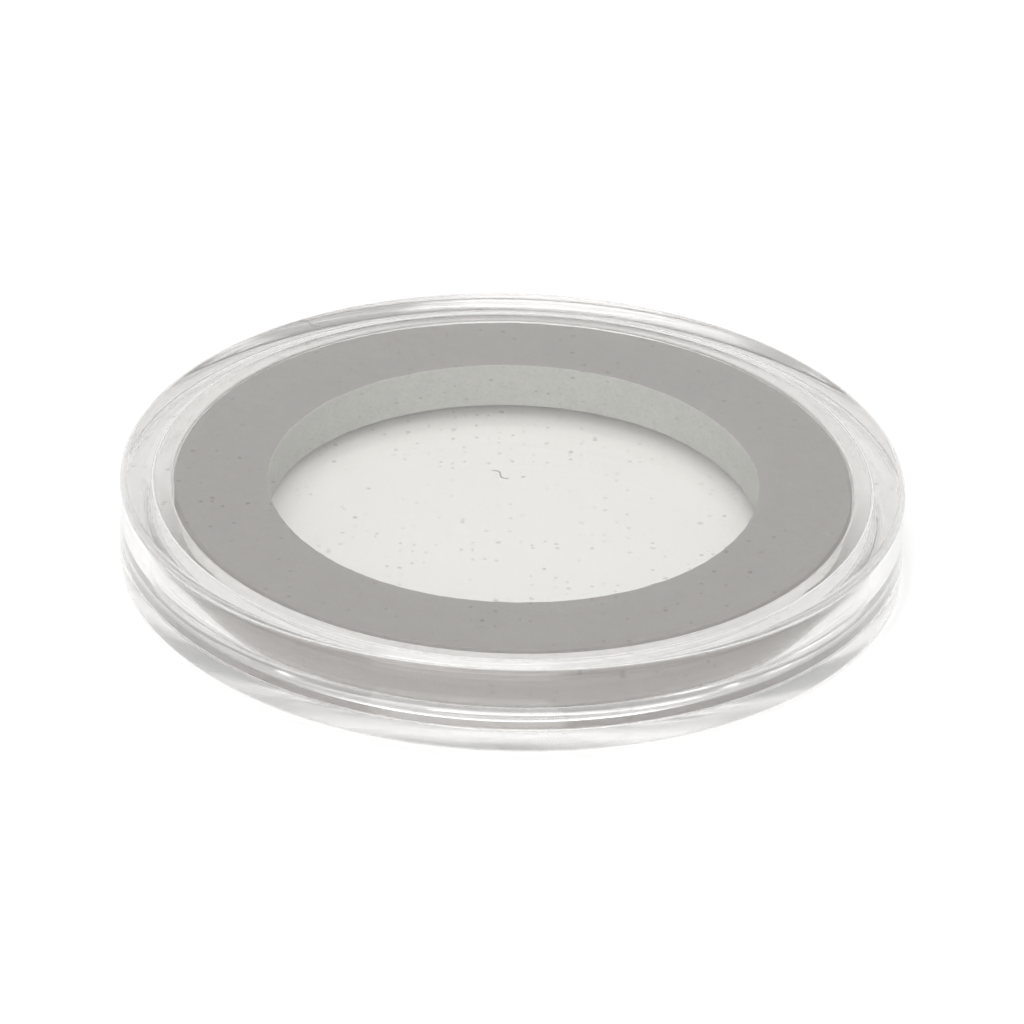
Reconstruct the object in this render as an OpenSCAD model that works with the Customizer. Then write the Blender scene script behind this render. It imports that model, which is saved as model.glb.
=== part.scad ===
// Round coin capsule: a clear base cup, a clear lid that pushes over it,
// and a soft foam ring that fills the chamber round the coin.
// Every piece is turned about Z. The base stands on z = 0 and the lid is closed.

/* [Capsule] */
// Outer diameter of the closed capsule
outer_d = 53; // [46:0.5:60]
// Height of the closed capsule
outer_h = 6.3; // [5.8:0.1:9]
// Thickness of the window in the base
base_window_t = 1.8; // [1.2:0.05:2.2]
// Thickness of the window in the lid
lid_window_t = 1.2; // [1:0.1:1.5]
// Rounding of the lid's top edge
lid_edge_r = 0.5; // [0.2:0.1:0.8]
// Rounding of the base's bottom edge
base_edge_r = 0.35; // [0.2:0.05:0.6]
// Rounding of the two edges that meet at the parting line
parting_edge_r = 0.1; // [0.05:0.05:0.2]
// Height of the parting line's gap
parting_gap = 0.04; // [0.02:0.01:0.1]

/* [Press fit] */
// Thickness of the base's upright wall, which the lid pushes over
wall_t = 1.35; // [1.1:0.05:1.8]
// Thickness of the lid's skirt
skirt_t = 2.1; // [1.5:0.05:2.4]
// Rounding inside the skirt's lower edge, which leads it over the wall
skirt_lead_r = 0.2; // [0.1:0.05:0.4]
// Radial clearance between the wall and the skirt
fit_gap = 0.05; // [0.02:0.01:0.1]
// Air gap between the top of the wall and the lid's window
wall_top_gap = 0.1; // [0.1:0.05:0.4]
// Rounding of the wall's two top edges
wall_edge_r = 0.3; // [0.1:0.05:0.5]

/* [Foam ring] */
// Diameter of the hole that holds the coin
ring_hole_d = 33; // [16:0.5:40]
// Radial clearance between the ring and the chamber
ring_gap = 0.15; // [0.1:0.05:0.5]
// Gap between the ring and each window
ring_face_gap = 0.05; // [0.02:0.01:0.2]
// Easing of the ring's cut edges
ring_edge_r = 0.1; // [0.05:0.05:0.3]

/* [Hidden] */
$fn = 96;

outer_r = outer_d / 2;
skirt_r = outer_r - skirt_t;              // inside of the lid's skirt
wall_r = skirt_r - fit_gap;               // outside of the base's wall
chamber_r = wall_r - wall_t;              // inside of the base's wall
lid_under_z = outer_h - lid_window_t;     // underside of the lid's window
wall_top_z = lid_under_z - wall_top_gap;
skirt_bottom_z = base_window_t + parting_gap;
ring_r = chamber_r - ring_gap;
ring_bottom_z = base_window_t + ring_face_gap;
ring_top_z = lid_under_z - ring_face_gap;

// Half outline of a turned band from r_in to r_out and z0 to z1, with its four corners
// rounded: in_low, in_top, out_low and out_top are radii, and 0 leaves a corner square.
module band(r_in, r_out, z0, z1, in_low = 0, in_top = 0, out_low = 0, out_top = 0) {
    difference() {
        translate([r_in, z0]) square([r_out - r_in, z1 - z0]);
        corner(r_in, z0, 1, 1, in_low);
        corner(r_in, z1, 1, -1, in_top);
        corner(r_out, z0, -1, 1, out_low);
        corner(r_out, z1, -1, -1, out_top);
    }
}

// What a rounding of radius r takes off the corner at (x, z). sx and sz point into the band.
module corner(x, z, sx, sz, r) {
    if (r > 0) difference() {
        over = r / 8;
        translate([x + (sx > 0 ? -over : -r), z + (sz > 0 ? -over : -r)])
            square(r + over);
        translate([x + sx * r, z + sz * r]) circle(r);
    }
}

// Base cup: the lower window, a flange under the lid's skirt, and the upright wall.
module base() {
    color("azure", 0.4) rotate_extrude() {
        band(0, outer_r, 0, base_window_t, out_low = base_edge_r, out_top = parting_edge_r);
        band(chamber_r, wall_r, base_window_t / 2, wall_top_z,
            in_top = wall_edge_r, out_top = wall_edge_r);
    }
}

// Foam ring: cut from sheet foam, it lies in the chamber and centres the coin in its hole.
module foam_ring() {
    color("darkgray") rotate_extrude()
        band(ring_hole_d / 2, ring_r, ring_bottom_z, ring_top_z,
            ring_edge_r, ring_edge_r, ring_edge_r, ring_edge_r);
}

// Lid: the upper window and the skirt, which slides down over the base's wall.
module lid() {
    color("aliceblue", 0.4) rotate_extrude() {
        band(0, outer_r, lid_under_z, outer_h, out_top = lid_edge_r);
        band(skirt_r, outer_r, skirt_bottom_z, outer_h - lid_window_t / 2,
            in_low = skirt_lead_r, out_low = parting_edge_r);
    }
}

base();
foam_ring();
lid();
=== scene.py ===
import math

import bmesh
import bpy
from mathutils import Matrix, Vector, noise


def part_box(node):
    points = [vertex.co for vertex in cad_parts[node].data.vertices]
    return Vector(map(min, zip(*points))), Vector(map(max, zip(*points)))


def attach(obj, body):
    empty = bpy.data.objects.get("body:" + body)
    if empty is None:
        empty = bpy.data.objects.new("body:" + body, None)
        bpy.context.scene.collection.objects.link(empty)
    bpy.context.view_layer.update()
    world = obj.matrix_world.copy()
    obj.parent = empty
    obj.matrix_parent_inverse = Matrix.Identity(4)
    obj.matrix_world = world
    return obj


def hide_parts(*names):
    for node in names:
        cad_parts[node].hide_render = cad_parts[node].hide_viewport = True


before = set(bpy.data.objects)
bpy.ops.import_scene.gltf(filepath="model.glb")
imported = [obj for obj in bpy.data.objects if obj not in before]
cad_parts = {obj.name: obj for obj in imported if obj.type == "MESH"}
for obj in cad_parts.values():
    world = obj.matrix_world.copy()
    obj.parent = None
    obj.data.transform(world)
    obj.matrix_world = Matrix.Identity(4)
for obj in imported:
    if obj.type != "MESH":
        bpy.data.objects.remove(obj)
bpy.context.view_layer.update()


# ---- Base cup ----------------------------------------------------------------------------
# The base is one moulding of clear plastic: a flat window as wide as the capsule, whose edge is
# the flange below the parting line, and an upright wall that the lid pushes over. It stands
# loose on the table, and static draws fine dust to it, as it does to the lid.

scene = bpy.context.scene
mm = 0.001
base_low, base_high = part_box("base")
lid_low, lid_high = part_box("lid")

outer_r = lid_high.x
skirt_t = 2.1 * mm
fit_gap = 0.05 * mm
wall_t = 1.35 * mm
parting_gap = 0.04 * mm
skirt_r = outer_r - skirt_t
wall_r = skirt_r - fit_gap
chamber_r = wall_r - wall_t
flange_top = lid_low.z - parting_gap

bottom_edge_r = 0.35 * mm
parting_edge_r = 0.1 * mm
wall_edge_r = 0.3 * mm
chamber_corner_r = 0.25 * mm

turn_steps = 256
rounding_steps = 6
touching = 0.0001 * mm


def on_circle(vert, radius, height):
    return abs(vert.co.z - height) < touching and abs(vert.co.xy.length - radius) < touching


def finished(name, shape):
    """Makes the bmesh a smooth-shaded object and puts it in the scene."""
    for face in shape.faces:
        face.smooth = True
    mesh = bpy.data.meshes.new(name)
    shape.to_mesh(mesh)
    shape.free()
    piece = bpy.data.objects.new(name, mesh)
    scene.collection.objects.link(piece)
    return piece


def turned(name, outline):
    """Spins corners of (radius, height, rounding) about Z, and rounds those that ask for it."""
    shape = bmesh.new()
    corners = [shape.verts.new((radius, 0, height)) for radius, height, rounding in outline]
    edges = [shape.edges.new(pair) for pair in zip(corners, corners[1:])]
    bmesh.ops.spin(
        shape, geom=corners + edges, cent=(0, 0, 0), axis=(0, 0, 1),
        angle=math.tau, steps=turn_steps, use_merge=True,
    )
    bmesh.ops.remove_doubles(shape, verts=shape.verts, dist=touching)
    bmesh.ops.recalc_face_normals(shape, faces=shape.faces)
    for radius, height, rounding in outline:
        if rounding:
            circle = [
                edge for edge in shape.edges
                if all(on_circle(vert, radius, height) for vert in edge.verts)
            ]
            bmesh.ops.bevel(
                shape, geom=circle, offset=rounding, segments=rounding_steps, profile=0.5,
                affect="EDGES", material=-1,
            )
    piece = finished(name, shape)
    even = piece.modifiers.new("even_shading", "WEIGHTED_NORMAL")
    even.weight = 100  # large faces lead
    return piece


def node(tree, kind, inputs, **properties):
    """Adds a node. Each input, by name or number, is linked to a socket or set to a value."""
    made = tree.nodes.new(kind)
    for name, value in properties.items():
        setattr(made, name, value)
    for key, value in inputs.items():
        if isinstance(value, bpy.types.NodeSocket):
            tree.links.new(value, made.inputs[key])
        else:
            made.inputs[key].default_value = value
    return made


def maths(tree, operation, *values, clamp=False):
    made = node(
        tree, "ShaderNodeMath", dict(enumerate(values)), operation=operation, use_clamp=clamp,
    )
    return made.outputs[0]


def ramp(tree, value, low, high, at_low=0.0, at_high=1.0):
    """Maps low and high to at_low and at_high, evenly between them and level beyond them."""
    ends = {"From Min": low, "From Max": high, "To Min": at_low, "To Max": at_high}
    return node(tree, "ShaderNodeMapRange", {"Value": value, **ends}).outputs["Result"]


def mixed(tree, amount, first, second):
    """Mixes two colours."""
    made = node(tree, "ShaderNodeMix", {0: amount, 6: first, 7: second}, data_type="RGBA")
    return made.outputs[2]


def dust_specks(tree, where):
    """Grains with a ragged edge, at most one to a cell of 0.8 mm, and darker in patches."""
    cells_per_metre = 1250.0
    raggedness = [0.15 * mm] * 3
    rags = node(tree, "ShaderNodeTexNoise", {"Vector": where, "Scale": 9000.0, "Detail": 2.0})
    shaken = node(
        tree, "ShaderNodeVectorMath", {0: rags.outputs["Color"], 1: raggedness, 2: where},
        operation="MULTIPLY_ADD",
    )
    cells = node(
        tree, "ShaderNodeTexVoronoi", {"Vector": shaken.outputs[0], "Scale": cells_per_metre},
    )
    lot = node(tree, "ShaderNodeSeparateColor", {"Color": cells.outputs["Color"]})
    size = ramp(tree, lot.outputs["Red"], low=0.5, high=1.0, at_high=0.28)
    grain = maths(tree, "SUBTRACT", size, cells.outputs["Distance"])
    soft_grain = ramp(tree, grain, low=0.0, high=0.1)
    drift = node(tree, "ShaderNodeTexNoise", {"Vector": where, "Scale": 90.0, "Detail": 1.0})
    patch = ramp(tree, drift.outputs["Fac"], low=0.32, high=0.6, at_low=0.08, at_high=0.45)
    return maths(tree, "MULTIPLY", soft_grain, patch)


def fibres(tree, where):
    """Wavy threads 1.6 mm long, each at the middle of its cell, in one cell out of 14."""
    cells_per_metre = 190.0
    cells_without = 0.93
    half_length = 0.8 * mm
    half_thickness = 0.05 * mm
    faded_out = 0.11 * mm
    bend = 0.18 * mm
    bend_rate = 4200.0
    cells = node(tree, "ShaderNodeTexVoronoi", {"Vector": where, "Scale": cells_per_metre})
    from_middle = node(
        tree, "ShaderNodeVectorMath", {0: where, 1: cells.outputs["Position"]},
        operation="SUBTRACT",
    )
    lot = node(tree, "ShaderNodeSeparateColor", {"Color": cells.outputs["Color"]})
    heading = maths(tree, "MULTIPLY", lot.outputs["Blue"], math.pi)
    laid = node(
        tree, "ShaderNodeVectorRotate", {"Vector": from_middle.outputs[0], "Angle": heading},
        rotation_type="Z_AXIS",
    )
    along, across, up = node(tree, "ShaderNodeSeparateXYZ", {"Vector": laid.outputs[0]}).outputs
    wave = maths(tree, "SINE", maths(tree, "MULTIPLY", along, bend_rate))
    aside = maths(tree, "ABSOLUTE", maths(tree, "MULTIPLY_ADD", wave, bend, across))
    thread = ramp(tree, aside, low=half_thickness, high=faded_out, at_low=1.0, at_high=0.0)
    in_length = maths(tree, "LESS_THAN", maths(tree, "ABSOLUTE", along), half_length)
    # so a thread on one face of the plastic doesn't show again on the face behind it
    on_face = maths(tree, "LESS_THAN", maths(tree, "ABSOLUTE", up), half_length / 2)
    picked = maths(tree, "GREATER_THAN", lot.outputs["Green"], cells_without)
    there = maths(tree, "MULTIPLY", in_length, maths(tree, "MULTIPLY", on_face, picked))
    return maths(tree, "MULTIPLY", thread, there)


def hairlines(tree, where):
    """Wiping marks: thin contours of a noise that is drawn out along the way of wiping."""
    drawn_out = {"Rotation": (0.0, 0.0, 0.6), "Scale": (60.0, 900.0, 60.0)}
    contour = 0.5
    contour_width = 0.012
    wiped = node(tree, "ShaderNodeMapping", {"Vector": where, **drawn_out})
    waves = node(
        tree, "ShaderNodeTexNoise", {"Vector": wiped.outputs[0], "Scale": 1.0, "Detail": 3.0},
    )
    off_contour = maths(tree, "ABSOLUTE", maths(tree, "SUBTRACT", waves.outputs["Fac"], contour))
    return ramp(tree, off_contour, low=0.0, high=contour_width, at_low=1.0, at_high=0.0)


def dust_and_hairlines():
    """The node group of both: Specks is where dust lies, and Haze is where a face is duller."""
    group = bpy.data.node_groups.new("dust_and_hairlines", "ShaderNodeTree")
    for name in ("Dust", "Hairlines", "Seed"):
        group.interface.new_socket(name, in_out="INPUT", socket_type="NodeSocketFloat")
    for name in ("Specks", "Haze"):
        group.interface.new_socket(name, in_out="OUTPUT", socket_type="NodeSocketFloat")
    given = group.nodes.new("NodeGroupInput").outputs
    place = node(group, "ShaderNodeTexCoord", {}).outputs["Object"]
    moved = node(group, "ShaderNodeVectorMath", {0: place, 1: given["Seed"]}, operation="ADD")
    where = moved.outputs[0]
    dust = maths(group, "MAXIMUM", dust_specks(group, where), fibres(group, where))
    specks = maths(group, "MULTIPLY", dust, given["Dust"], clamp=True)
    lines = maths(group, "MULTIPLY", hairlines(group, where), given["Hairlines"])
    haze = maths(group, "ADD", lines, specks, clamp=True)
    node(group, "NodeGroupOutput", {"Specks": specks, "Haze": haze})
    return group


marks_group = dust_and_hairlines()
acrylic_ior = 1.49
window_tint = (0.976, 0.974, 0.964, 1)
wall_tint = (0.94, 0.934, 0.928, 1)
dust_colour = (0.3, 0.28, 0.25, 1)
polished = 0.012
under_dust = 0.25
duller_in_walls = 0.033


def clear_plastic(name, **amounts):
    """Clear moulded plastic, a little darker and less polished in the walls than the windows."""
    material = bpy.data.materials.new(name)
    material.use_nodes = True
    tree = material.node_tree
    shader = tree.nodes["Principled BSDF"]
    shader.inputs["Transmission Weight"].default_value = 1.0
    shader.inputs["IOR"].default_value = acrylic_ior
    marks = node(tree, "ShaderNodeGroup", amounts, node_tree=marks_group).outputs
    place = node(tree, "ShaderNodeTexCoord", {}).outputs["Object"]
    level = node(
        tree, "ShaderNodeVectorMath", {0: place, 1: (1.0, 1.0, 0.0)}, operation="MULTIPLY",
    )
    radius = node(tree, "ShaderNodeVectorMath", {0: level.outputs[0]}, operation="LENGTH")
    in_wall = ramp(
        tree, radius.outputs["Value"], low=chamber_r - 0.4 * mm, high=chamber_r + 0.2 * mm,
    )
    tint = mixed(tree, in_wall, window_tint, wall_tint)
    tree.links.new(mixed(tree, marks["Specks"], tint, dust_colour), shader.inputs["Base Color"])
    marked = ramp(tree, marks["Haze"], low=0.0, high=1.0, at_low=polished, at_high=under_dust)
    roughness = maths(tree, "MULTIPLY_ADD", in_wall, duller_in_walls, marked)
    tree.links.new(roughness, shader.inputs["Roughness"])
    swell = node(tree, "ShaderNodeTexNoise", {"Vector": place, "Scale": 110.0, "Detail": 1.0})
    bump = node(
        tree, "ShaderNodeBump", {"Height": swell.outputs["Fac"], "Distance": 0.01 * mm},
    )
    tree.links.new(bump.outputs[0], shader.inputs["Normal"])
    return material


base = turned("base_moulding", [
    (0, base_low.z, 0),
    (outer_r, base_low.z, bottom_edge_r),
    (outer_r, flange_top, parting_edge_r),
    (wall_r, flange_top, 0),
    (wall_r, base_high.z, wall_edge_r),
    (chamber_r, base_high.z, wall_edge_r),
    (chamber_r, flange_top, chamber_corner_r),
    (0, flange_top, 0),
])
base.data.materials.append(clear_plastic("clear_base_plastic", Dust=0.9, Hairlines=0.2, Seed=5.0))
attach(base, "base")
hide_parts("base")


# ---- Foam ring ---------------------------------------------------------------------------
# The ring is punched from a sheet of grey closed-cell foam and laid in the chamber. Its cut
# edges are a little uneven and its faces show the fine cells of the foam. The wall of its
# hole is painted paler than the skin: painted light, standing in for the light that falls into
# the hole.

ring_low, ring_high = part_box("foam_ring")
hole_r = 16.5 * mm
ring_r = ring_high.x
ring_edge_r = 0.1 * mm
ring_steps = 420

cut_wander = 0.1 * mm
wander_rate = 1.6
wander_start = Vector((0, 0, 4))
cell_height = 0.035 * mm
cells_per_mm = 1.7
skin_sunk = 0.02 * mm


def foam_ring():
    """The ring's section with enough points on each side to be roughened, spun about Z."""
    shape = bmesh.new()
    section = [
        (hole_r, ring_low.z), (hole_r, ring_high.z),
        (ring_r, ring_high.z), (ring_r, ring_low.z),
    ]
    corners = [shape.verts.new((radius, 0, height)) for radius, height in section]
    edges = [shape.edges.new(pair) for pair in zip(corners, corners[1:] + corners[:1])]
    hole_side, top, outside, bottom = edges
    bmesh.ops.subdivide_edges(shape, edges=[top, bottom], cuts=17)
    bmesh.ops.subdivide_edges(shape, edges=[hole_side, outside], cuts=9)
    bmesh.ops.spin(
        shape, geom=shape.verts[:] + shape.edges[:], cent=(0, 0, 0), axis=(0, 0, 1),
        angle=math.tau, steps=ring_steps, use_merge=True,
    )
    bmesh.ops.remove_doubles(shape, verts=shape.verts, dist=touching)
    bmesh.ops.recalc_face_normals(shape, faces=shape.faces)
    sharp = math.radians(60)
    rims = [edge for edge in shape.edges if edge.calc_face_angle(0) > sharp]
    bmesh.ops.bevel(
        shape, geom=rims, offset=ring_edge_r, segments=3, profile=0.5,
        affect="EDGES", material=-1,
    )
    return shape


def roughen(shape):
    """Moves the cut edges in and out, and raises and sinks the cells on every face."""
    shape.normal_update()
    for vert in shape.verts:
        outward = Vector((vert.co.x, vert.co.y, 0)).normalized()
        wander = cut_wander * noise.noise(wander_start + wander_rate * outward)
        cells = cell_height * noise.noise(cells_per_mm * vert.co / mm)
        vert.co += outward * wander + vert.normal * (cells - skin_sunk)


def foam(name, light, dark, cell_size, relief):
    """Grey closed-cell foam: dull, finely pored, mottled from cell to cell, with painted shade in
    the sunken cell edges.
    """
    material = bpy.data.materials.new(name)
    material.use_nodes = True
    tree = material.node_tree
    shader = tree.nodes["Principled BSDF"]
    shader.inputs["Roughness"].default_value = 0.95
    cell_share = 0.6
    place = node(tree, "ShaderNodeTexCoord", {}).outputs["Object"]
    cells = node(tree, "ShaderNodeTexVoronoi", {"Vector": place, "Scale": 1 / cell_size})
    mottle = node(
        tree, "ShaderNodeTexNoise",
        {"Vector": place, "Scale": 1100.0, "Detail": 4.0, "Roughness": 0.7},
    )
    distance = cells.outputs["Distance"]
    pores = maths(tree, "MULTIPLY_ADD", distance, cell_share, mottle.outputs["Fac"])
    # painted shade: darker where the bump sinks the cell edges, mixed with random mottle
    pore_shade_and_mottle = ramp(tree, pores, low=0.45, high=1.15)
    tree.links.new(mixed(tree, pore_shade_and_mottle, light, dark), shader.inputs["Base Color"])
    bump = node(
        tree, "ShaderNodeBump", {"Height": pores, "Strength": relief, "Distance": 0.06 * mm},
        invert=True,
    )
    tree.links.new(bump.outputs[0], shader.inputs["Normal"])
    return material


ring_shape = foam_ring()
roughen(ring_shape)
ring = finished("foam_ring_cut", ring_shape)
skin = foam(
    "foam_skin", light=(0.398, 0.383, 0.377, 1), dark=(0.362, 0.348, 0.343, 1),
    cell_size=0.16 * mm, relief=0.35,
)
# painted light: a paler copy of the same foam, standing in for the light on the hole's wall
painted_lit_hole_foam = foam(
    "foam_painted_lit_hole", light=(0.57, 0.572, 0.55, 1), dark=(0.49, 0.492, 0.472, 1),
    cell_size=0.2 * mm, relief=0.5,
)
ring.data.materials.append(skin)
ring.data.materials.append(painted_lit_hole_foam)
middle_r = (hole_r + ring_r) / 2
flat = 0.95
# the upright faces of the hole get the paler copy, which is painted light; all other faces get
# the skin
for face in ring.data.polygons:
    in_hole = face.center.xy.length < middle_r and abs(face.normal.z) < flat
    face.material_index = 1 if in_hole else 0
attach(ring, "ring")
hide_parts("foam_ring")


# ---- Lid ---------------------------------------------------------------------------------
# The lid is the second clear moulding: a flat window and a skirt that slides down over the
# base's wall until its lower edge meets the flange.

lid_window_t = 1.2 * mm
lid_corner_r = 0.3 * mm
lead_in_r = 0.2 * mm
top_edge_r = 0.5 * mm
under_window = lid_high.z - lid_window_t

lid = turned("lid_moulding", [
    (0, under_window, 0),
    (skirt_r, under_window, lid_corner_r),
    (skirt_r, lid_low.z, lead_in_r),
    (outer_r, lid_low.z, parting_edge_r),
    (outer_r, lid_high.z, top_edge_r),
    (0, lid_high.z, 0),
])
lid.data.materials.append(clear_plastic("clear_lid_plastic", Dust=0.9, Hairlines=0.25, Seed=7.0))
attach(lid, "lid")
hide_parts("lid")


# ---- Floor, light and camera -------------------------------------------------------------
# A white table that glows faintly, two large soft lamps, one overhead and one in front, and a
# pale room that is brightest low down. The camera looks down at the capsule from the front.

table_drop = 0.02 * mm
table_shape = bmesh.new()
bmesh.ops.create_grid(table_shape, x_segments=1, y_segments=1, size=3.0)
bmesh.ops.translate(table_shape, verts=table_shape.verts, vec=(0, 0, -table_drop))
table = finished("table", table_shape)
table_white = bpy.data.materials.new("white_table")
table_white.use_nodes = True
table_shader = table_white.node_tree.nodes["Principled BSDF"].inputs
table_shader["Base Color"].default_value = (0.9, 0.9, 0.9, 1)
table_shader["Roughness"].default_value = 0.8
table_shader["Emission Color"].default_value = (1, 1, 1, 1)
table_shader["Emission Strength"].default_value = 0.1
table.data.materials.append(table_white)


def soft_lamp(name, place, size, power):
    """A square soft lamp that faces the capsule."""
    data = bpy.data.lights.new(name, "AREA")
    data.size = size
    data.energy = power
    lamp = bpy.data.objects.new(name, data)
    lamp.location = place
    lamp.rotation_euler = (-Vector(place)).to_track_quat("-Z", "Y").to_euler()
    scene.collection.objects.link(lamp)


soft_lamp("overhead", (0.0, 0.1, 0.9), size=0.9, power=4.9)
soft_lamp("front", (-0.2, -0.9, 0.5), size=1.0, power=5.0)

room = bpy.data.worlds.new("room")
room.use_nodes = True
sky = room.node_tree
direction = node(sky, "ShaderNodeTexCoord", {}).outputs["Generated"]
upward = node(sky, "ShaderNodeSeparateXYZ", {"Vector": direction}).outputs["Z"]
low_down = {"From Min": 0.1, "To Min": 1.05}
high_up = {"From Max": 0.6, "To Max": 0.4}
strength = node(
    sky, "ShaderNodeMapRange", {"Value": upward, **low_down, **high_up},
    interpolation_type="SMOOTHSTEP",
)
sky.links.new(strength.outputs[0], sky.nodes["Background"].inputs["Strength"])
sky.nodes["Background"].inputs["Color"].default_value = (1, 1, 1, 1)
scene.world = room

view_distance = 0.6062
view_height = math.radians(29.1)
view_roll = math.radians(1.6)
aim = Vector((0, 0.35 * mm, lid_high.z / 2))
camera_data = bpy.data.cameras.new("camera")
camera_data.lens = 315
camera_data.clip_start = 0.01
camera = bpy.data.objects.new("camera", camera_data)
camera.location = aim + view_distance * Vector((0, -math.cos(view_height), math.sin(view_height)))
facing = (aim - camera.location).to_track_quat("-Z", "Y").to_matrix()
camera.rotation_euler = (facing @ Matrix.Rotation(view_roll, 3, "Z")).to_euler()
scene.collection.objects.link(camera)
scene.camera = camera

# light crosses many faces on its way through the two mouldings
through_plastic = 64
scene.view_settings.view_transform = "Standard"
scene.cycles.max_bounces = through_plastic
scene.cycles.transmission_bounces = through_plastic
scene.cycles.glossy_bounces = through_plastic
scene.cycles.diffuse_bounces = 6
scene.cycles.blur_glossy = 0.0
